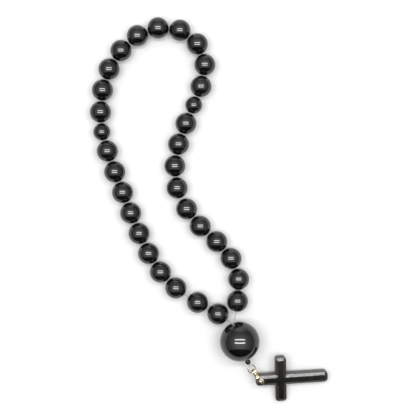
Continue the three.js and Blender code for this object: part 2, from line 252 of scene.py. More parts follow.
def arc(centre: tuple[float, float], radius: float, start: float, stop: float, steps: int) -> np.ndarray:
    """Points on a circle's arc in a plane: the centre plus the radius times (cos, sin) of evenly spaced
    angles.

    Args:
        centre: The circle's centre.
        radius: Its radius.
        start: The first angle in degrees.
        stop: The last angle in degrees.
        steps: How many steps there are between them.

    Returns:
        The points, (steps + 1, 2).
    """
    angles = np.radians(np.linspace(start, stop, steps + 1))
    return np.array(centre) + radius * np.stack([np.cos(angles), np.sin(angles)], -1)


def softened(corners: np.ndarray, radius: float, steps: int) -> np.ndarray:
    """An open path through corners, each inner one replaced by a quadratic curve that starts and ends a
    radius away from the corner along its two sides and leans on the corner between them.

    Args:
        corners: The path's corners, (count, 2) or (count, 3).
        radius: How far from a corner its curve starts.
        steps: How many steps each curve has.

    Returns:
        The path's points.
    """
    t = np.linspace(0, 1, steps + 1)[:, None]
    parts = [corners[:1]]
    for before, corner, after in zip(corners, corners[1:], corners[2:]):
        back, ahead = before - corner, after - corner
        start = corner + back * min(radius / np.linalg.norm(back), CORNER_SHARE)
        stop = corner + ahead * min(radius / np.linalg.norm(ahead), CORNER_SHARE)
        parts.append((1 - t) ** 2 * start + 2 * t * (1 - t) * corner + t**2 * stop)
    parts.append(corners[-1:])
    return np.concatenate(parts)


def respaced(path: np.ndarray, step: float) -> np.ndarray:
    """The same path with evenly spaced points, found by linear interpolation on the length so far.

    Args:
        path: The path's points, (count, 2) or (count, 3).
        step: About how far apart the new points are.

    Returns:
        The new points.
    """
    lengths = np.concatenate([[0.0], np.cumsum(np.linalg.norm(np.diff(path, axis=0), axis=1))])
    wanted = np.linspace(0, lengths[-1], max(2, round(lengths[-1] / step) + 1))
    return np.stack([np.interp(wanted, lengths, path[:, k]) for k in range(path.shape[1])], -1)


def ripple(points: np.ndarray, seed: int, wavelength: float, height: float) -> np.ndarray:
    """How far hand polishing leaves a surface from its true form: the mean of sine waves that run in random
    directions through space, each sampled at the points.

    Args:
        points: Points of the surface, (..., 3).
        seed: Chooses the waves.
        wavelength: The waves' length.
        height: The largest offset.

    Returns:
        One offset for each point.
    """
    random = np.random.default_rng(seed)
    directions = random.normal(size=(RIPPLE_WAVES, 3))
    directions /= np.linalg.norm(directions, axis=1, keepdims=True)
    phases = random.uniform(0, FULL_TURN, RIPPLE_WAVES)
    waves = np.sin(points @ directions.T * FULL_TURN / wavelength + phases)
    return height * waves.mean(axis=-1)


def turned(line: Line, profile: np.ndarray, sides: int) -> np.ndarray:
    """A turned surface: each profile point (radius, height) is carried round the line, so that its place is
    the line's point at that height plus the radius times (cos, sin) of the turn across the line.

    Args:
        line: The axis.
        profile: Radius and height of each point, from the line's own point.
        sides: Steps round the axis.

    Returns:
        A grid of points, one row for each profile point.
    """
    near = np.array([1.0, 0.0, 0.0]) if abs(line.along[0]) < NEARLY_ALONG_X else np.array([0.0, 1.0, 0.0])
    axes = Axes.along_z(line, near)
    turn = np.arange(sides) * FULL_TURN / sides
    radius, height = profile[:, :1], profile[:, 1:]
    local = np.stack(
        [radius * np.cos(turn), radius * np.sin(turn), np.broadcast_to(height, (len(profile), sides))], -1
    )
    return axes.place(local)


def swept(path: np.ndarray, section: np.ndarray) -> np.ndarray:
    """A surface that carries a section along a path. At each path point, a frame of two directions square to
    the path is the last point's frame tilted as little as possible, and the section's (across, rise) values
    are laid out in it.

    Args:
        path: The path's points, (rows, 3).
        section: Across and rise of each section point, (rows, columns, 2).

    Returns:
        A grid of points (rows, columns, 3).
    """
    tangents = np.gradient(path, axis=0)
    tangents /= np.linalg.norm(tangents, axis=1, keepdims=True)
    across = np.empty_like(path)
    guess = np.cross(tangents[0], UP)
    for row, tangent in enumerate(tangents):
        guess = guess - (guess @ tangent) * tangent
        guess = guess / np.linalg.norm(guess)
        across[row] = guess
    rise = np.cross(across, tangents)
    return path[:, None] + section[..., :1] * across[:, None] + section[..., 1:] * rise[:, None]


# ---- Finishes ----


class NodeTree:
    """A node tree while it is laid out, with short calls for what every finish needs."""

    def __init__(self, tree: bpy.types.NodeTree, place: str) -> None:
        """Starts to lay out a tree.

        Args:
            tree: The tree.
            place: The texture coordinate that its patterns are laid out in.
        """
        self.tree = tree
        self.place = self.tree.nodes.new("ShaderNodeTexCoord").outputs[place]

    def node(self, kind: str, **inputs: object) -> bpy.types.Node:
        """A node with its inputs set: a socket is linked, and a value is stored.

        Args:
            kind: The node's type name.
            inputs: Values or sockets by input name, with _ for a space.

        Returns:
            The node.
        """
        made = self.tree.nodes.new(kind)
        for name, value in inputs.items():
            self.feed(made.inputs[name.replace("_", " ")], value)
        return made

    def feed(self, socket: bpy.types.NodeSocket, value: object) -> None:
        """Links a socket to another, or stores a plain value in it.

        Args:
            socket: The input that is set.
            value: A socket or a plain value.
        """
        if isinstance(value, bpy.types.NodeSocket):
            self.tree.links.new(value, socket)
        else:
            socket.default_value = value

    def noise(
        self, feature: float, stretch: tuple[float, float, float] = (1, 1, 1), detail: float = 2.0
    ) -> bpy.types.NodeSocket:
        """A cloudy noise in space, from 0 to 1.

        Args:
            feature: The size of its features in metres.
            stretch: How many times longer the features are along X, Y and Z.
            detail: How many finer octaves it has.

        Returns:
            The noise's value.
        """
        scale = tuple(1 / (feature * s) for s in stretch)
        place = self.node("ShaderNodeMapping", Vector=self.place, Scale=scale).outputs["Vector"]
        return self.node("ShaderNodeTexNoise", Vector=place, Scale=1.0, Detail=detail).outputs[0]

    def spread(
        self,
        value: bpy.types.NodeSocket,
        low: float,
        high: float,
        edges: tuple[float, float] = NOISE_EDGES,
    ) -> bpy.types.NodeSocket:
        """A value that goes evenly from low to high while the input goes from one edge to the other.

        Args:
            value: The input.
            low: The value at the first edge and before it.
            high: The value at the second edge and past it.
            edges: The two inputs between which it changes.

        Returns:
            The value.
        """
        start, stop = edges
        return self.node(
            "ShaderNodeMapRange", Value=value, From_Min=start, From_Max=stop, To_Min=low, To_Max=high
        ).outputs["Result"]

    def blend(self, share: bpy.types.NodeSocket, first: object, second: object) -> bpy.types.NodeSocket:
        """A colour that goes from the first to the second with a share.

        Args:
            share: How much of the second there is, from 0 to 1.
            first: A colour or a socket.
            second: A colour or a socket.

        Returns:
            The mixed colour.
        """
        mix = self.tree.nodes.new("ShaderNodeMix")
        mix.data_type = "RGBA"
        for socket, value in ((mix.inputs[0], share), (mix.inputs[6], first), (mix.inputs[7], second)):
            self.feed(socket, value)
        return mix.outputs[2]

    def math(self, operation: str, first: object, second: object) -> bpy.types.NodeSocket:
        """Two values joined by an operation.

        Args:
            operation: The operation's name.
            first: A number or a socket.
            second: A number or a socket.

        Returns:
            The result.
        """
        made = self.tree.nodes.new("ShaderNodeMath")
        made.operation = operation
        self.feed(made.inputs[0], first)
        self.feed(made.inputs[1], second)
        return made.outputs[0]

    def reading(self, attribute: str) -> bpy.types.NodeSocket:
        """A number that the piece stores at its vertices.

        Args:
            attribute: The name that it is stored by.

        Returns:
            The number.
        """
        made = self.tree.nodes.new("ShaderNodeAttribute")
        made.attribute_name = attribute
        return made.outputs["Fac"]

    def relief(self, height: bpy.types.NodeSocket, depth: float) -> bpy.types.NodeSocket:
        """A bumpy normal from a height of 0 to 1 that stands for a depth in metres."""
        return self.node("ShaderNodeBump", Height=height, Distance=depth, Strength=1.0).outputs["Normal"]


class Shade(NodeTree):
    """A material with one surface shader."""

    def __init__(self, name: str) -> None:
        """Starts a material, with its patterns laid out in space.

        Args:
            name: The material's name.
        """
        self.material = bpy.data.materials.new(name)
        self.material.use_nodes = True
        super().__init__(self.material.node_tree, "Object")
        self.surface = self.tree.nodes["Principled BSDF"]


def grey(level: float, warmth: float = 0.0) -> tuple[float, float, float, float]:
    """An opaque grey, redder and less blue by its warmth."""
    return (level * (1 + warmth), level, level * (1 - warmth), 1.0)


@dataclass(frozen=True)
class Finish:
    """What a piece is dressed in: its record slot and its material."""

    slot: str

    @property
    def title(self) -> str:
        """The material's name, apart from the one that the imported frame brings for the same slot."""
        return f"{self.slot}_finish"

    def material(self) -> bpy.types.Material:
        """The finish's material, made the first time that it is asked for."""
        return bpy.data.materials.get(self.title) or self.make()

    def make(self) -> bpy.types.Material:
        """Lays out the material's nodes."""
        raise NotImplementedError


@dataclass(frozen=True)
class PolishedStone(Finish):
    """Opaque black stone, ground and tumbled to a gloss, with the drilled rims left dull."""

    body: tuple[float, float, float, float] = grey(0.0024)
    cloud: tuple[float, float, float, float] = grey(0.0045, 0.08)
    cloud_size: float = 3.2 * MM
    cloud_edges: tuple[float, float] = (0.42, 0.72)
    polish: tuple[float, float] = (0.03, 0.085)
    haze_size: float = 1.3 * MM
    hairline_size: float = 0.05 * MM
    hairline_stretch: tuple[float, float, float] = (30, 2, 6)
    hairline_edges: tuple[float, float] = (0.62, 0.75)
    hairline_share: float = 0.25
    relief_depth: float = 0.0006 * MM
    drilled: tuple[float, float, float, float] = grey(0.03, 0.04)
    drilled_roughness: float = 0.5
    frosted: tuple[float, float, float, float] = grey(0.016, 0.3)
    frosted_roughness: float = 0.22
    wheel_mark_size: float = 0.35 * MM
    wheel_mark_stretch: tuple[float, float, float] = (6, 1, 1)
    least_frost: float = 0.55
    index: float = 1.58

    def make(self) -> bpy.types.Material:
        """Clouds vary the black. Haze and fine hairlines vary the gloss. The drilled rims and whatever the
        wheel left frosted are greyer and duller.

        Returns:
            The material.
        """
        shade = Shade(self.title)
        clouds = shade.spread(shade.noise(self.cloud_size, detail=4.0), 0, 1, self.cloud_edges)
        drilled = shade.reading("drilled")
        wheel_marks = shade.noise(self.wheel_mark_size, self.wheel_mark_stretch)
        wheel_marks = shade.spread(wheel_marks, self.least_frost, 1)
        frosted = shade.math("MULTIPLY", shade.reading("frosted"), wheel_marks)
        colour = shade.blend(clouds, self.body, self.cloud)
        colour = shade.blend(frosted, colour, self.frosted)
        shade.feed(shade.surface.inputs["Base Color"], shade.blend(drilled, colour, self.drilled))
        low, high = self.polish
        haze = shade.spread(shade.noise(self.haze_size, detail=3.0), low, high)
        hairlines = shade.noise(self.hairline_size, self.hairline_stretch, detail=1.0)
        hairlines = shade.spread(hairlines, 0, high * self.hairline_share, self.hairline_edges)
        rough = shade.math("ADD", haze, hairlines)
        rough = shade.math("ADD", rough, shade.math("MULTIPLY", drilled, self.drilled_roughness))
        rough = shade.math("ADD", rough, shade.math("MULTIPLY", frosted, self.frosted_roughness))
        shade.feed(shade.surface.inputs["Roughness"], rough)
        orange_peel = shade.noise(self.haze_size, detail=1.0)
        shade.feed(shade.surface.inputs["Normal"], shade.relief(orange_peel, self.relief_depth))
        shade.surface.inputs["IOR"].default_value = self.index
        return shade.material


@dataclass(frozen=True)
class SeedGlass(Finish):
    """Opaque black glass, fire polished, so that it has soft dimples instead of scratches."""

    body: tuple[float, float, float, float] = grey(0.004)
    streak: tuple[float, float, float, float] = grey(0.012, 0.1)
    dimple_size: float = 0.5 * MM
    dimple_depth: float = 0.01 * MM
    streak_stretch: tuple[float, float, float] = (1, 4, 1)
    polish: tuple[float, float] = (0.05, 0.12)
    index: float = 1.52

    def make(self) -> bpy.types.Material:
        """Streaks run in the glass, and dimples bend its highlights.

        Returns:
            The material.
        """
        shade = Shade(self.title)
        streaks = shade.noise(self.dimple_size, self.streak_stretch)
        shade.feed(shade.surface.inputs["Base Color"], shade.blend(streaks, self.body, self.streak))
        dimples = shade.noise(self.dimple_size, detail=0.0)
        shade.feed(shade.surface.inputs["Roughness"], shade.spread(dimples, *self.polish))
        shade.feed(shade.surface.inputs["Normal"], shade.relief(dimples, self.dimple_depth))
        shade.surface.inputs["IOR"].default_value = self.index
        return shade.material


@dataclass(frozen=True)
class TwistedNylon(Finish):
    """Grey beading nylon twisted from plies, darker with painted shade and rougher in the grooves between
    them.
    """

    crown: tuple[float, float, float, float] = (0.36, 0.34, 0.32, 1.0)
    # The colour of the painted shade down in the grooves between the plies.
    shaded_groove: tuple[float, float, float, float] = (0.10, 0.095, 0.09, 1.0)
    soil: tuple[float, float, float, float] = (0.20, 0.18, 0.16, 1.0)
    fibre_size: float = 0.04 * MM
    fibre_depth: float = 0.01 * MM
    soil_size: float = 6 * MM
    soil_share: float = 0.6
    polish: tuple[float, float] = (0.42, 0.7)
    sheen: float = 0.2

    def make(self) -> bpy.types.Material:
        """The groove value paints shade into the colour, soiling varies it along the cord, and fibres roughen
        it.

        Returns:
            The material.
        """
        shade = Shade(self.title)
        soiled = shade.spread(shade.noise(self.soil_size), 0, self.soil_share)
        crown = shade.blend(soiled, self.crown, self.soil)
        # Painted shade: the colour goes towards the groove colour where the plies meet.
        colour = shade.blend(shade.reading("shaded_groove"), crown, self.shaded_groove)
        shade.feed(shade.surface.inputs["Base Color"], colour)
        fibres = shade.noise(self.fibre_size)
        shade.feed(shade.surface.inputs["Roughness"], shade.spread(fibres, *self.polish))
        shade.feed(shade.surface.inputs["Normal"], shade.relief(fibres, self.fibre_depth))
        shade.surface.inputs["Sheen Weight"].default_value = self.sheen
        return shade.material


@dataclass(frozen=True)
class PlatedMetal(Finish):
    """Thin bright plating, with a dull film in patches and fine handling scratches."""

    bright: tuple[float, float, float, float] = (0.8, 0.8, 0.8, 1.0)
    film: tuple[float, float, float, float] = (0.3, 0.28, 0.25, 1.0)
    film_size: float = 0.9 * MM
    film_share: float = 0.5
    film_edges: tuple[float, float] = (0.4, 0.7)
    polish: tuple[float, float] = (0.14, 0.34)
    scratch_size: float = 0.03 * MM
    scratch_stretch: tuple[float, float, float] = (14, 3, 1)
    scratch_depth: float = 0.002 * MM

    def make(self) -> bpy.types.Material:
        """The film dulls the plating where its noise is high, and stretched noise makes the scratches.

        Returns:
            The material.
        """
        shade = Shade(self.title)
        film = shade.spread(shade.noise(self.film_size, detail=4.0), 0, self.film_share, self.film_edges)
        shade.feed(shade.surface.inputs["Base Color"], shade.blend(film, self.bright, self.film))
        shade.feed(shade.surface.inputs["Roughness"], shade.spread(film, *self.polish, edges=(0, 1)))
        scratches = shade.noise(self.scratch_size, self.scratch_stretch)
        shade.feed(shade.surface.inputs["Normal"], shade.relief(scratches, self.scratch_depth))
        shade.surface.inputs["Metallic"].default_value = 1.0
        return shade.material


BEAD_STONE = PolishedStone("bead_stone")
CROSS_STONE = PolishedStone(
    "cross_stone",
    body=grey(0.003, 0.1),
    cloud=grey(0.007, 0.2),
    polish=(0.05, 0.1),
    relief_depth=0.002 * MM,
)
SEED_GLASS = SeedGlass("seed_glass")
CORD_NYLON = TwistedNylon("cord_nylon")
RING_SILVER = PlatedMetal(
    "ring_silver",
    bright=(0.5, 0.47, 0.42, 1.0),
    film=(0.1, 0.085, 0.065, 1.0),
    film_share=0.8,
    polish=(0.1, 0.25),
)
BAIL_PALE_GOLD = PlatedMetal(
    "bail_pale_gold",
    bright=(0.7, 0.64, 0.47, 1.0),
    film=(0.12, 0.09, 0.065, 1.0),
    film_share=0.85,
    polish=(0.1, 0.25),
)


# ---- Stone beads ----


@dataclass(frozen=True)
class StoneBead:
    """A round bead with a straight drilled bore, at its place on the cord."""

    name: str
    diameter: float
    bore: float
    seed: int
    rim_round: float = 0.16 * MM
    wave_length: float = 5.2 * MM
    wave_height: float = 0.007 * MM
    rim_fade: float = 0.14 * MM
    sides: int = 80
    arc_steps: int = 44
    rim_steps: int = 5
    bore_steps: int = 6

    @property
    def line(self) -> Line:
        """The bore's line, through the bead's centre."""
        return Line.of_joint(f"{self.name}_spin")

    @property
    def reach(self) -> float:
        """Half the bore's length, from the bead's centre to the mouth."""
        return math.sqrt((self.diameter / 2) ** 2 - (self.bore / 2) ** 2)

    def profile(self) -> np.ndarray:
        """The bead's half section: a circle's arc from rim to rim, rims rounded by quadratic curves, and the
        straight wall of the bore.

        Returns:
            Radius and height of each point.
        """
        radius, wall = self.diameter / 2, self.bore / 2
        mouth = math.degrees(math.acos((wall + self.rim_round) / radius))
        outside = arc((0, 0), radius, -mouth, mouth, self.arc_steps)
        top = outside[-1, 1]
        rim_corners = np.array([outside[-1], [wall, top], [wall, top - 2 * self.rim_round]])
        rim = softened(rim_corners, self.rim_round, self.rim_steps)
        inside = np.linspace(rim[-1], rim[-1] * (1, -1), self.bore_steps)
        return np.concatenate([outside, rim[1:-1], inside, rim[-2:0:-1] * (1, -1)])

    def build(self) -> bpy.types.Object:
        """Turns the section round the bore, adds the ripple of hand polishing and dresses the bead.

        Returns:
            The bead.
        """
        points = turned(self.line, self.profile(), self.sides)
        out = (points - self.line.point) / (self.diameter / 2)
        points = points + out * ripple(points, self.seed, self.wave_length, self.wave_height)[..., None]
        bead = add_piece(self.name, [Patch.from_grid(points, close_rows=True)])
        beyond_rim = self.line.radii(vertex_array(bead)) - self.bore / 2
        mark(bead, "drilled", np.clip(1 - beyond_rim / self.rim_fade, 0, 1))
        mark(bead, "frosted", np.zeros(len(bead.data.vertices)))
        settle(bead, BEAD_STONE, self.name, self.name)
        return bead


@dataclass(frozen=True)
class BeadLoop:
    """The loop's small beads, numbered from one side of the large bead to the other."""

    count: int = 32
    bead_diameter: float = 9.7 * MM
    spacer_diameter: float = 7.8 * MM
    spacers: tuple[int, ...] = (11, 22)
    bore: float = 1.3 * MM

    def beads(self) -> list[StoneBead]:
        """The beads in order along the cord.

        Returns:
            The beads, each with a ripple of its own.
        """
        return [
            StoneBead(
                f"bead_{number:02d}",
                self.spacer_diameter if number in self.spacers else self.bead_diameter,
                self.bore,
                seed=number,
            )
            for number in range(1, self.count + 1)
        ]


LARGE_BEAD = StoneBead(
    "large_bead",
    diameter=18.0 * MM,
    bore=2.0 * MM,
    seed=100,
    rim_round=0.25 * MM,
    wave_length=7.5 * MM,
    wave_height=0.012 * MM,
    sides=144,
    arc_steps=84,
)


@dataclass(frozen=True)
class SeedBead:
    """A tiny cut-tube bead with a bulging outside, between the large bead and the ring."""

    name: str = "seed_bead"
    diameter: float = 2.5 * MM
    length: float = 1.9 * MM
    bore: float = 1.3 * MM
    squareness: float = 2.6
    sides: int = 48
    steps: int = 40

    def build(self) -> bpy.types.Object:
        """Turns a rounded, slightly squared ring section: across is cos and along is sin of the turn, each
        brought nearer to 1 by the root of the squareness, so that the wall has full shoulders.

        Returns:
            The bead.
        """
        angles = np.arange(self.steps) * FULL_TURN / self.steps
        power = 2 / self.squareness
        across = np.sign(np.cos(angles)) * np.abs(np.cos(angles)) ** power
        along = np.sign(np.sin(angles)) * np.abs(np.sin(angles)) ** power
        wall = (self.diameter - self.bore) / 4
        middle = self.bore / 2 + wall
        profile = np.stack([middle + wall * across, self.length / 2 * along], -1)
        points = turned(Line.of_joint(f"{self.name}_spin"), profile, self.sides)
        bead = add_piece(self.name, [Patch.from_grid(points, close_rows=True)])
        settle(bead, SEED_GLASS, self.name, self.name)
        return bead


# ---- Cord ----


@dataclass(frozen=True)
class Cord:
    """The nylon cord: from its knot in the large bead, round the jump ring's wire and back, and round the
    whole loop to the knot again. It follows the places that the CAD model gives the beads."""

    diameter: float = 0.4 * MM
    plies: int = 3
    twist: float = 1.3 * MM
    ply_relief: float = 0.05
    turn_radius: float = 0.78 * MM
    turn_start: float = 0.27 * MM
    knotted_strand: float = -0.36 * MM
    passing_strand: float = 0.45 * MM
    seed_strand: float = 0.27 * MM
    knot_depth: float = 4.0 * MM
    knot_diameter: float = 0.84 * MM
    step: float = 0.2 * MM
    slack: float = 0.25 * MM
    sides: int = 12
    turn_points: int = 13
    knot_steps: int = 180
    # How much painted shade darkens the whole knot, as if its tight turns were all groove.
    knot_shade: float = 0.3

    def strand(self, distance: float, shift: float) -> np.ndarray:
        """A point beside the large bead's bore line.

        Args:
            distance: How far down the line it is from the bead's centre.
            shift: How far above the line it is, square to it.

        Returns:
            The point.
        """
        line = LARGE_BEAD.line
        rise = UP - (UP @ line.along) * line.along
        return line.at(distance) + shift * rise / np.linalg.norm(rise)

    @property
    def knot_place(self) -> float:
        """Where the knot sits along the large bead's bore."""
        return self.knot_depth - LARGE_BEAD.reach

    def corners(self) -> np.ndarray:
        """The cord's route through the mouths of the bores. The turn round the ring's wire is half a circle:
        its distance down the bore line goes as a sine and its shift across as minus a cosine.

        Returns:
            The route's corners, (count, 3).
        """
        down = LARGE_BEAD.line
        reach = LARGE_BEAD.reach
        seed_middle = (Line.of_joint("seed_bead_spin").point - down.point) @ down.along
        seed_half = SeedBead().length / 2
        wire = (Line.of_joint("jump_ring_swing").point - down.point) @ down.along
        turn = [
            self.strand(
                wire + self.turn_radius * math.sin(angle) - self.turn_start,
                -self.turn_radius * math.cos(angle),
            )
            for angle in np.linspace(0, math.pi, self.turn_points)
        ]
        route = [
            self.strand(self.knot_place, self.knotted_strand),
            self.strand(reach, self.knotted_strand),
            self.strand(seed_middle - seed_half, -self.seed_strand),
            self.strand(seed_middle + seed_half, -self.seed_strand),
            *turn,
            self.strand(seed_middle + seed_half, self.seed_strand),
            self.strand(seed_middle - seed_half, self.seed_strand),
            self.strand(reach, self.passing_strand),
            self.strand(-reach, self.passing_strand),
        ]
        for bead in reversed(BeadLoop().beads()):
            route += [bead.line.at(bead.reach), bead.line.at(-bead.reach)]
        route.append(self.strand(-reach, self.knotted_strand))
        route.append(self.strand(self.knot_place, self.knotted_strand))
        return np.array(route)

    def path(self) -> np.ndarray:
        """The route at even steps, with its corners relaxed by a bell-shaped running mean. The bell's spread
        is the slack, and it reaches three times as far.

        Returns:
            The path's points, (count, 3).
        """
        path = respaced(self.corners(), self.step)
        half = math.ceil(3 * self.slack / self.step)
        weights = np.exp(-0.5 * (np.arange(-half, half + 1) * self.step / self.slack) ** 2)
        padded = np.concatenate([np.repeat(path[:1], half, 0), path, np.repeat(path[-1:], half, 0)])
        relaxed = [np.convolve(padded[:, k], weights / weights.sum(), mode="valid") for k in range(3)]
        return np.stack(relaxed, -1)

    def build_knot(self) -> bpy.types.Object:
        """The pulled-down knot, a tube round a trefoil: the middle line at turn t is (sin t + 2 sin 2t,
        cos t - 2 cos 2t, -sin 3t), which reaches 3 out, scaled to the knot's size.

        Returns:
            The knot.
        """
        t = np.arange(self.knot_steps) * FULL_TURN / self.knot_steps
        around = np.arange(self.sides) * FULL_TURN / self.sides
        tube = self.knot_diameter / 8
        scale = (self.knot_diameter / 2 - tube) / 3
        middle = scale * np.stack(
            [np.sin(t) + 2 * np.sin(2 * t), np.cos(t) - 2 * np.cos(2 * t), -np.sin(3 * t)], -1
        )
        ahead = np.roll(middle, -1, 0) - np.roll(middle, 1, 0)
        ahead /= np.linalg.norm(ahead, axis=1, keepdims=True)
        rise = UP - ahead[:, 2:] * ahead
        rise /= np.linalg.norm(rise, axis=1, keepdims=True)
        side = np.cross(ahead, rise)
        points = middle[:, None] + tube * (
            np.cos(around)[:, None] * side[:, None] + np.sin(around)[:, None] * rise[:, None]
        )
        points = points + self.strand(self.knot_place, self.knotted_strand)
        knot = add_piece("cord_knot_tied", [Patch.from_grid(points, close_rows=True)])
        # Painted shade: the whole knot takes an even share of the groove colour.
        mark(knot, "shaded_groove", np.full(len(knot.data.vertices), self.knot_shade))
        settle(knot, CORD_NYLON, "cord", "cord_knot")
        return knot

    def build(self) -> None:
        """Carries the twisted section along the route: its radius is less in the grooves between the plies,
        as one minus the relief times the fourth power of a cosine that turns once a twist."""
        path = self.path()
        lengths = np.arange(len(path)) * np.linalg.norm(np.diff(path, axis=0), axis=1).mean()
        around = np.arange(self.sides) * FULL_TURN / self.sides
        lobe = self.plies / 2 * (around[None] - FULL_TURN * lengths[:, None] / self.twist)
        # One in the grooves: it makes them deeper here, and the finish paints shade into them with it.
        shaded_groove = np.cos(lobe) ** 4
        radius = self.diameter / 2 * (1 - self.ply_relief * shaded_groove)
        section = np.stack([radius * np.cos(around), radius * np.sin(around)], -1)
        points = swept(path, section)
        ends = [Patch(points[row], [list(range(self.sides))]) for row in (0, -1)]
        cord = add_piece("cord_strand", [Patch.from_grid(points), *ends])
        # The groove value is stored for the finish, which paints shade into the grooves with it.
        mark(cord, "shaded_groove", shaded_groove.ravel())
        settle(cord, CORD_NYLON, "cord", "cord")
        knot = self.build_knot()
        tuple(LARGE_BEAD.line.at(-LARGE_BEAD.reach))


# ---- Jump ring ----


@dataclass(frozen=True)
class JumpRing:
    """An open wire ring that joins the cord's turn to the bail."""

    name: str = "jump_ring"
    mean_diameter: float = 3.5 * MM
    wire: float = 0.52 * MM
    cut: float = 0.12 * MM
    steps: int = 120
    sides: int = 24
    end_steps: int = 4

    @property
    def axes(self) -> Axes:
        """The ring's axes at its middle: X from the cord's turn towards the bail, Z square to the ring."""
        near, far = Line.of_joint("jump_ring_swing"), Line.of_joint("bail_swing")
        heading = (far.point - near.point) / np.linalg.norm(far.point - near.point)
        normal = np.cross(heading, -near.along)
        return Axes.along_z(Line((near.point + far.point) / 2, normal), heading)

    def rows(self) -> tuple[np.ndarray, np.ndarray]:
        """The rows of the wire from one side of the cut round to the other. Towards each end the wire's
        radius falls as a quarter circle, so that its edges are rounded.

        Returns:
            Each row's turn round the ring, and the wire's radius there.
        """
        half_cut = self.cut / self.mean_diameter
        bevel = self.wire / 8
        turn = np.linspace(0, math.pi / 2, self.end_steps)
        end_radii = self.wire / 2 - bevel * (1 - np.sin(turn))
        end_angles = 2 * bevel / self.mean_diameter * (1 - np.cos(turn))
        angles = np.linspace(half_cut, FULL_TURN - half_cut, self.steps) + math.pi / 2
        middle_radii = np.full(self.steps - 2, self.wire / 2)
        angles = np.concatenate([angles[0] + end_angles, angles[1:-1], angles[-1] - end_angles[::-1]])
        return angles, np.concatenate([end_radii, middle_radii, end_radii[::-1]])

    def build(self) -> bpy.types.Object:
        """Carries the wire round a circle: a point is the mean radius plus the wire's radius times the cosine
        of its turn about the wire out from the middle, and the wire's radius times the sine up from it.

        Returns:
            The ring.
        """
        angles, radii = (row[:, None] for row in self.rows())
        around = np.arange(self.sides) * FULL_TURN / self.sides
        out = self.mean_diameter / 2 + radii * np.cos(around)
        local = np.stack([out * np.cos(angles), out * np.sin(angles), radii * np.sin(around)], -1)
        points = self.axes.place(local)
        ends = [Patch(points[row], [list(range(self.sides))]) for row in (0, -1)]
        ring = add_piece("jump_ring_wire", [Patch.from_grid(points), *ends])
        settle(ring, RING_SILVER, self.name, self.name)
        return ring


# ---- Cross ----


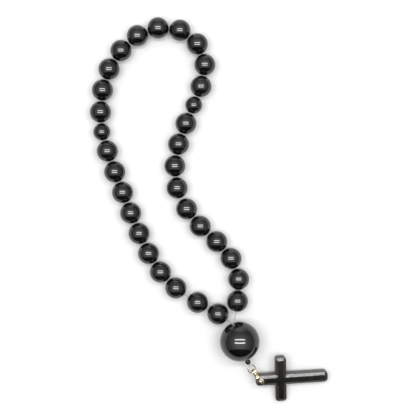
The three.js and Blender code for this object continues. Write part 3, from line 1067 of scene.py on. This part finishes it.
@dataclass(frozen=True)
class StoneCross:
    """The bevelled cross. Its own X runs to the foot, Y along the crossbar and Z out of the front."""

    name: str = "cross"
    seed: int = 200
    head: float = 11.4 * MM
    foot: float = 21.5 * MM
    crossbar: float = 21.3 * MM
    shaft_width: float = 5.0 * MM
    crossbar_width: float = 5.0 * MM
    thickness: float = 4.2 * MM
    front_bevel: tuple[float, float] = (1.35 * MM, 0.75 * MM)
    back_bevel: float = 0.35 * MM
    shaft_corner: float = 1.7 * MM
    crossbar_corner: float = 1.4 * MM
    inner_corner: float = 0.12 * MM
    hole: float = 1.5 * MM
    hole_inset: float = 2.0 * MM
    cleared_share: float = 0.98
    arris: float = 0.14 * MM
    spacing: float = 0.5 * MM
    rim_fade: float = 0.12 * MM
    wave_length: float = 4.5 * MM
    wave_height: float = 0.09 * MM
    corner_steps: int = 8
    arris_steps: int = 6
    bore_steps: int = 4
    flat_steps: int = 4
    hole_sides: int = 40

    @property
    def axes(self) -> Axes:
        """The cross's axes, from its joint on the bail and the flat end of its foot."""
        hinge = Line.of_joint("cross_swing")
        mount = next(m for m in frame["record"]["mounts"] if m["name"] == "cross_foot_end")
        foot_end = np.array(mount["pos_m"], float)
        along = np.array(mount["axis"], float)
        middle = foot_end - self.foot * along
        return Axes.along_z(Line(middle, hinge.along), along)

    @property
    def hole_place(self) -> float:
        """The hole's X."""
        return self.hole_inset - self.head

    def outline(self, inset: float) -> np.ndarray:
        """The cross's outline moved inwards by an inset. Each outer corner is an arc whose radius falls by
        the inset, each inner corner one whose radius grows by it, about centres that stay, and the straight
        sides between them are divided evenly.

        Args:
            inset: How far inwards, from 0 to less than the corners' radius.

        Returns:
            The outline's points in order, (count, 2).
        """
        shaft, bar, reach = self.shaft_width / 2, self.crossbar_width / 2, self.crossbar / 2
        end, side = self.shaft_corner - inset, self.crossbar_corner - inset
        inner = self.inner_corner + inset
        foot_x, head_x = self.foot - self.shaft_corner, self.shaft_corner - self.head
        shaft_y = shaft - self.shaft_corner
        bar_x, bar_y = bar - self.crossbar_corner, reach - self.crossbar_corner
        inner_x, inner_y = bar + self.inner_corner, shaft + self.inner_corner
        corners = [
            ((foot_x, -shaft_y), end, -90, 0),
            ((foot_x, shaft_y), end, 0, 90),
            ((inner_x, inner_y), inner, 270, 180),
            ((bar_x, bar_y), side, 0, 90),
            ((-bar_x, bar_y), side, 90, 180),
            ((-inner_x, inner_y), inner, 0, -90),
            ((head_x, shaft_y), end, 90, 180),
            ((head_x, -shaft_y), end, 180, 270),
            ((-inner_x, -inner_y), inner, 90, 0),
            ((-bar_x, -bar_y), side, 180, 270),
            ((bar_x, -bar_y), side, 270, 360),
            ((inner_x, -inner_y), inner, 180, 90),
        ]
        arcs = [arc(*corner, self.corner_steps) for corner in corners]
        lengths = 2 * [self.foot] + 4 * [reach] + 2 * [self.head] + 4 * [reach]
        parts = []
        for number, (this, length) in enumerate(zip(arcs, lengths)):
            following = arcs[(number + 1) % len(arcs)][0]
            between = np.linspace(this[-1], following, max(3, round(length / self.spacing)))[1:-1]
            parts += [this, between]
        return np.concatenate(parts)

    def side_profile(self) -> np.ndarray:
        """The side's section from the front face over its bevel, down the wall and round to the back face,
        with the arrises softened, and the bevel and the wall divided evenly.

        Returns:
            Inset and height of each point.
        """
        width, depth = self.front_bevel
        half = self.thickness / 2
        support = 2 * self.arris
        corners = np.array(
            [
                [width + support, half],
                [width, half],
                [0, half - depth],
                [0, self.back_bevel - half],
                [self.back_bevel, -half],
                [self.back_bevel + support, -half],
            ]
        )
        path = softened(corners, self.arris, self.arris_steps)
        shares = np.linspace(0, 1, self.flat_steps + 1)[1:-1, None]
        bevel_start = self.arris_steps + 1
        wall_start = 2 * bevel_start
        for start in (wall_start, bevel_start):
            between = path[start] + shares * (path[start + 1] - path[start])
            path = np.insert(path, start + 1, between, axis=0)
        return path

    def face(self, edge: np.ndarray, rim: np.ndarray, height: float) -> Patch:
        """A flat face between an outer edge and the hole's rim, triangulated with a lattice of points inside.
        Triangles whose middles are within the cleared share of the hole's radius are left out.

        Args:
            edge: The outer edge's points, (count, 2).
            rim: The hole's rim, (count, 2).
            height: The face's Z.

        Returns:
            The face in the cross's own axes.
        """
        # The lattice keeps half a step clear of the edge, which lies its own inset within the full width.
        inset = self.shaft_width / 2 - edge[:, 1][edge[:, 0] > self.foot / 2].max() + self.spacing / 2
        xs = np.arange(-self.head, self.foot, self.spacing)
        ys = np.arange(-self.crossbar / 2, self.crossbar / 2, self.spacing)
        inner = np.stack(np.meshgrid(xs, ys), -1).reshape(-1, 2)
        on_shaft = np.abs(inner[:, 1]) < self.shaft_width / 2 - inset
        on_shaft &= (inner[:, 0] > inset - self.head) & (inner[:, 0] < self.foot - inset)
        on_bar = np.abs(inner[:, 0]) < self.crossbar_width / 2 - inset
        on_bar &= np.abs(inner[:, 1]) < self.crossbar / 2 - inset
        clear = np.hypot(inner[:, 0] - self.hole_place, inner[:, 1]) > self.hole / 2 + self.spacing
        inner = inner[(on_shaft | on_bar) & clear]
        points = np.concatenate([edge, rim, inner]) / MM
        loops = [list(range(len(edge))), list(range(len(edge), len(edge) + len(rim)))]
        edges = [(loop[k], loop[(k + 1) % len(loop)]) for loop in loops for k in range(len(loop))]
        corners = [Vector(point) for point in points]
        found, _, faces, *_ = delaunay_2d_cdt(corners, edges, [loops[0]], INSIDE_ONLY, NEARNESS)
        flat = np.array([tuple(point) for point in found]) * MM
        centres = np.array([flat[face].mean(axis=0) for face in faces])
        cleared = self.cleared_share * self.hole / 2
        kept = np.hypot(centres[:, 0] - self.hole_place, centres[:, 1]) > cleared
        kept_faces = [list(face) for face, keep in zip(faces, kept) if keep]
        return Patch(np.column_stack([flat, np.full(len(flat), height)]), kept_faces)

    def sides_grid(self) -> np.ndarray:
        """The sides: one outline for each point of the side's section, at its inset and height. The front
        bevel is rippled by its grinding, most halfway up and not at all at its edges: the ripple is scaled by
        the share of the way over the bevel times what is left of that way.

        Returns:
            A grid of points, (rows, columns, 3).
        """
        profile = self.side_profile()
        outlines = [self.outline(inset) for inset in profile[:, 0]]
        sides = np.array([np.column_stack([o, np.full(len(o), z)]) for o, z in zip(outlines, profile[:, 1])])
        edge_share = np.clip(profile[:, 0] / self.front_bevel[0], 0, 1)
        hand_ground = edge_share * (1 - edge_share) * (profile[:, 1] > 0)
        sides[..., 2] += hand_ground[:, None] * ripple(sides, self.seed, self.wave_length, self.wave_height)
        return sides

    def bore_grid(self) -> np.ndarray:
        """The hole's wall and its two rims: a circle for each point of a softened section.

        Returns:
            A grid of points, (rows, columns, 3).
        """
        half, radius = self.thickness / 2, self.hole / 2
        rim = radius + self.arris
        wall = half - self.arris
        corners = np.array([[rim, half], [radius, wall], [radius, -wall], [rim, -half]])
        section = softened(corners, self.arris / 2, self.bore_steps)
        turn = np.arange(self.hole_sides) * FULL_TURN / self.hole_sides
        circle = np.stack([np.cos(turn), np.sin(turn)], -1)
        centre = (self.hole_place, 0.0)
        return np.array([np.column_stack([centre + r * circle, np.full(len(circle), z)]) for r, z in section])

    def build(self) -> bpy.types.Object:
        """Joins the sides, the two faces and the hole's wall.

        Returns:
            The cross.
        """
        sides, bore = self.sides_grid(), self.bore_grid()
        half = self.thickness / 2
        front = self.face(sides[0, :, :2], bore[0, :, :2], half)
        back = self.face(sides[-1, :, :2], bore[-1, :, :2], -half)
        patches = [Patch.from_grid(sides), Patch.from_grid(bore), front, back]
        for patch in patches:
            patch.points = self.axes.place(patch.points)
        cross = add_piece("stone_cross", patches)
        points = vertex_array(cross)
        beyond_rim = Line.of_joint("cross_swing").radii(points) - self.hole / 2
        mark(cross, "drilled", np.clip(1 - beyond_rim / self.rim_fade, 0, 1))
        # Only the front face is polished through: all that is lower stays as the wheel left it.
        below_face = half - (points - self.axes.origin) @ self.axes.z
        mark(cross, "frosted", np.clip(below_face / self.arris, 0, 1))
        settle(cross, CROSS_STONE, self.name, self.name)
        return cross


# ---- Bail ----


class Side(Enum):
    """The two sides of the cross that a prong comes from, by which way it lies along the hole's line."""

    FRONT = 1
    BACK = -1


@dataclass(frozen=True)
class PinchBail:
    """A bail bent from one strip: a loop, a pinched neck and two legs that end in round leaves, each with a
    prong that turns into the cross's hole. Its own X runs from the hole to the loop, and Z along the hole."""

    name: str = "bail"
    width: float = 1.7 * MM
    leaf: float = 3.3 * MM
    thickness: float = 0.5 * MM
    prong: float = 0.85 * MM
    prong_gap: float = 0.3 * MM
    rivet: tuple[float, float] = (1.35 * MM, 0.22 * MM)
    loop_bore: float = 1.5 * MM
    shoulder_length: float = 0.7 * MM
    web: float = 0.5 * MM
    fit: float = 0.15 * MM
    neck_gap: float = 0.02 * MM
    edge_power: float = 5.0
    leaf_blend: float = 0.12 * MM
    tip_width: float = 0.01 * MM
    tip_roundness: float = 0.4
    step: float = 0.08 * MM
    sides: int = 28
    loop_steps: int = 48
    bend_steps: int = 8
    tip_steps: int = 6
    dome_points: int = 12

    @property
    def axes(self) -> Axes:
        """The bail's axes at the hole: Z along the cross's hinge, X towards the ring."""
        hinge = Line.of_joint("cross_swing")
        return Axes.along_z(hinge, Line.of_joint("bail_swing").point - hinge.point)

    @property
    def leg_height(self) -> float:
        """How far the middle of a leg's thickness is from the cross's mid plane."""
        return StoneCross().thickness / 2 + self.fit + self.thickness / 2

    @property
    def loop_place(self) -> float:
        """The loop's X."""
        offset = Line.of_joint("bail_swing").point - self.axes.origin
        return float(offset @ self.axes.x)

    def strip_path(self) -> np.ndarray:
        """The strip's middle line: out along one leg, down to the neck, round the loop and back.

        Returns:
            X and Z of each point.
        """
        radius = self.loop_bore / 2 + self.thickness / 2
        apex = self.loop_place - self.loop_bore / 2 - self.web
        shoulder = apex - self.shoulder_length
        neck = self.thickness / 2 + self.neck_gap
        lean = math.degrees(math.asin(neck / radius))
        loop = arc((self.loop_place, 0), radius, 180 - lean, lean - 180, self.loop_steps)
        height = self.leg_height
        leg = np.array([[-self.leaf / 2, height], [shoulder, height], [apex, neck], loop[0]])
        leg = softened(leg, self.thickness, self.bend_steps)
        path = np.concatenate([leg[:-1], loop, leg[-2::-1] * (1, -1)])
        return respaced(path, self.step)

    def half_width(self, x: np.ndarray) -> np.ndarray:
        """Half the strip's width: the larger of the strap's and the round leaf's, joined smoothly. The larger
        of two values is half of their sum plus the root of their squared difference, and a small square added
        under the root rounds the join.

        Args:
            x: Where along the bail's X.

        Returns:
            Half the width at each X.
        """
        leaf = np.sqrt(np.clip((self.leaf / 2) ** 2 - x**2, 0, None))
        strap = np.where(x > 0, self.width / 2, 0.0)
        gap = leaf - strap
        return (leaf + strap + np.sqrt(gap**2 + self.leaf_blend**2 * (x > 0))) / 2

    def build_strip(self) -> bpy.types.Object:
        """Carries a rounded oblong section along the strip: across and rise are cos and sin of the turn, each
        brought nearer to 1 by the edge power, times half the width and half the thickness. At a leaf's tip
        both shrink to nothing.

        Returns:
            The strip.
        """
        path = self.strip_path()
        tangent = np.gradient(path, axis=0)
        tangent /= np.linalg.norm(tangent, axis=1, keepdims=True)
        turn = np.arange(self.sides) * FULL_TURN / self.sides
        power = 2 / self.edge_power
        across = np.sign(np.cos(turn)) * np.abs(np.cos(turn)) ** power
        rise = np.sign(np.sin(turn)) * np.abs(np.sin(turn)) ** power
        from_tip = path[:, 0] + self.leaf / 2
        round_tip = np.sqrt(np.clip(1 - (1 - np.clip(from_tip / self.thickness, 0, 1)) ** 2, 0, 1))
        half = np.maximum(self.half_width(path[:, 0]), self.tip_width / 2) * (from_tip > 0)
        thick = self.thickness / 2 * round_tip
        y = half[:, None] * across
        x = path[:, :1] - tangent[:, 1:] * thick[:, None] * rise
        z = path[:, 1:] + tangent[:, :1] * thick[:, None] * rise
        points = self.axes.place(np.stack([x, y, z], -1))
        strip = add_piece("bail_strip", [Patch.from_grid(points)])
        settle(strip, BAIL_PALE_GOLD, self.name, self.name)
        return strip

    def build_prong(self, side: Side) -> bpy.types.Object:
        """Turns a prong round the hole's line: a rounded tip, a straight pin and a low domed head outside the
        leaf, whose height falls as a cosine of the way to its edge.

        Args:
            side: The side that it comes from.

        Returns:
            The prong.
        """
        pin = self.prong / 2
        head_radius, head_height = self.rivet[0] / 2, self.rivet[1]
        outside = self.leg_height + self.thickness / 2
        tip_round = pin * self.tip_roundness
        tip = arc((pin - tip_round, self.prong_gap + tip_round), tip_round, -90, 0, self.tip_steps)
        way = np.linspace(1, 0, self.dome_points)
        dome = np.stack([head_radius * way, outside + head_height * np.cos(way * math.pi / 2)], -1)
        stem = [[pin, outside - self.thickness / 2], [head_radius, outside - self.thickness / 4]]
        profile = np.concatenate([[[0.0, self.prong_gap]], tip, stem, dome])
        hinge = Line.of_joint("cross_swing")
        points = turned(Line(hinge.point, side.value * hinge.along), profile, self.sides)
        prong = add_piece(f"bail_prong_{side.name.lower()}", [Patch.from_grid(points)])
        settle(prong, BAIL_PALE_GOLD, self.name)
        return prong

    def build(self) -> None:
        """Builds the strip and its two prongs."""
        self.build_strip()
        for side in Side:
            self.build_prong(side)


# ---- Table, light and camera ----


@dataclass(frozen=True)
class Strip:
    """A long strip light over the table, along X."""

    y: float
    radiance: float


@dataclass(frozen=True)
class Studio:
    """A pale table under a bright ceiling and two strip lights, seen from straight above. The room is dark on
    the near side (-Y) and has a bright band low on the far side.

    The ceiling is pairs of a height and a brightness, the height being the Z of the direction looked in: 0
    level with the table and 1 straight up. near_dark and far_glow are each the Y of a direction where it
    starts, the Y where it is full, and its level there.
    """

    table_size: float = 3.0
    table_grey: float = 0.54
    table_roughness: float = 0.9
    tooth_size: float = 0.7 * MM
    tooth_contrast: float = 0.01
    strips: tuple[Strip, ...] = (Strip(0.14, 17.0), Strip(-0.07, 17.0))
    strip_height: float = 0.6
    strip_length: float = 0.68
    strip_width: float = 0.07
    ceiling: tuple[tuple[float, float], ...] = (
        (0.0, 0.34), (0.28, 0.41), (0.5, 0.55), (0.68, 0.85), (0.82, 1.15), (0.92, 1.6)
    )
    near_dark: tuple[float, float, float] = (-0.57, -0.64, 0.03)
    far_glow: tuple[float, float, float] = (0.85, 1.0, 1.1)
    backdrop: float = 0.92
    camera_rise: float = 0.45
    camera_clip: float = 0.01
    camera_place: tuple[float, float] = (-0.0005, 0.00076)
    field_width: float = 0.1891

    def build_table(self) -> None:
        """A flat table top with a faint paper tooth in its colour."""
        half = self.table_size / 2
        corners = np.array([[-half, -half, 0.0], [half, -half, 0.0], [half, half, 0.0], [-half, half, 0.0]])
        table = add_piece("table_top", [Patch(corners, [[0, 1, 2, 3]])])
        shade = Shade("table_paper")
        tooth = shade.noise(self.tooth_size)
        low = grey(self.table_grey * (1 - self.tooth_contrast))
        high = grey(self.table_grey * (1 + self.tooth_contrast))
        shade.feed(shade.surface.inputs["Base Color"], shade.blend(tooth, low, high))
        shade.surface.inputs["Roughness"].default_value = self.table_roughness
        shade.surface.inputs["Specular IOR Level"].default_value = 0.0
        table.data.materials.append(shade.material)

    def build_strips(self) -> None:
        """Two area lights whose power gives each its radiance: power is pi times radiance times area."""
        for number, strip in enumerate(self.strips, start=1):
            light = bpy.data.lights.new(f"strip_light_{number}", "AREA")
            light.shape = "RECTANGLE"
            light.size, light.size_y = self.strip_length, self.strip_width
            light.energy = math.pi * strip.radiance * self.strip_length * self.strip_width
            lamp = bpy.data.objects.new(light.name, light)
            lamp.location = (0.0, strip.y, self.strip_height)
            bpy.context.scene.collection.objects.link(lamp)

    def build_room(self) -> None:
        """The room's brightness is the ceiling's for a direction's height, dimmed on the near side, plus the
        far glow. A camera that looks past the table sees a pale backdrop."""
        world = bpy.data.worlds.new("room")
        world.use_nodes = True
        shade = NodeTree(world.node_tree, "Generated")
        split = shade.node("ShaderNodeSeparateXYZ", Vector=shade.place)
        ramp = shade.node("ShaderNodeValToRGB", Fac=split.outputs["Z"])
        stops = ramp.color_ramp.elements
        stops[0].color, stops[1].color = grey(self.ceiling[0][1]), grey(self.ceiling[-1][1])
        for height, level in self.ceiling[1:]:
            stops.new(height).color = grey(level)
        near_start, near_full, near_level = self.near_dark
        far_start, far_full, far_level = self.far_glow
        near = shade.spread(split.outputs["Y"], near_level, 1.0, (near_full, near_start))
        far = shade.spread(split.outputs["Y"], 0.0, far_level, (far_start, far_full))
        level = shade.math("ADD", shade.math("MULTIPLY", ramp.outputs["Color"], near), far)
        path = shade.node("ShaderNodeLightPath")
        colour = shade.blend(path.outputs["Is Camera Ray"], level, grey(self.backdrop))
        shade.feed(world.node_tree.nodes["Background"].inputs["Color"], colour)
        bpy.context.scene.world = world

    def build_camera(self) -> None:
        """A camera over the loop's middle that looks straight down, its field as wide as the layout at the
        height of the beads' centres."""
        data = bpy.data.cameras.new("overhead")
        data.lens = data.sensor_width * self.camera_rise / self.field_width
        data.clip_start = self.camera_clip
        camera = bpy.data.objects.new("overhead", data)
        bead_height = Line.of_joint("bead_01_spin").point[2]
        camera.location = (*self.camera_place, bead_height + self.camera_rise)
        bpy.context.scene.collection.objects.link(camera)
        bpy.context.scene.camera = camera

    def build(self) -> None:
        """Builds the camera, the table, the lights and the room, shown without a film look."""
        self.build_camera()
        self.build_table()
        self.build_strips()
        self.build_room()
        bpy.context.scene.view_settings.view_transform = "Standard"


@dataclass(frozen=True)
class Rosary:
    """The whole rosary, in the order that it is threaded."""

    cord: Cord = field(default_factory=Cord)
    loop: BeadLoop = field(default_factory=BeadLoop)
    seed_bead: SeedBead = field(default_factory=SeedBead)
    ring: JumpRing = field(default_factory=JumpRing)
    bail: PinchBail = field(default_factory=PinchBail)
    cross: StoneCross = field(default_factory=StoneCross)

    def build(self) -> None:
        """Builds every sub-assembly."""
        self.cord.build()
        for bead in self.loop.beads():
            bead.build()
        LARGE_BEAD.build()
        self.seed_bead.build()
        self.ring.build()
        self.bail.build()
        self.cross.build()


def main() -> None:
    """Builds the studio and the rosary."""
    logging.basicConfig(level=logging.INFO, format="%(name)s: %(message)s")
    Studio().build()
    Rosary().build()


if __name__ == "__main__":
    main()
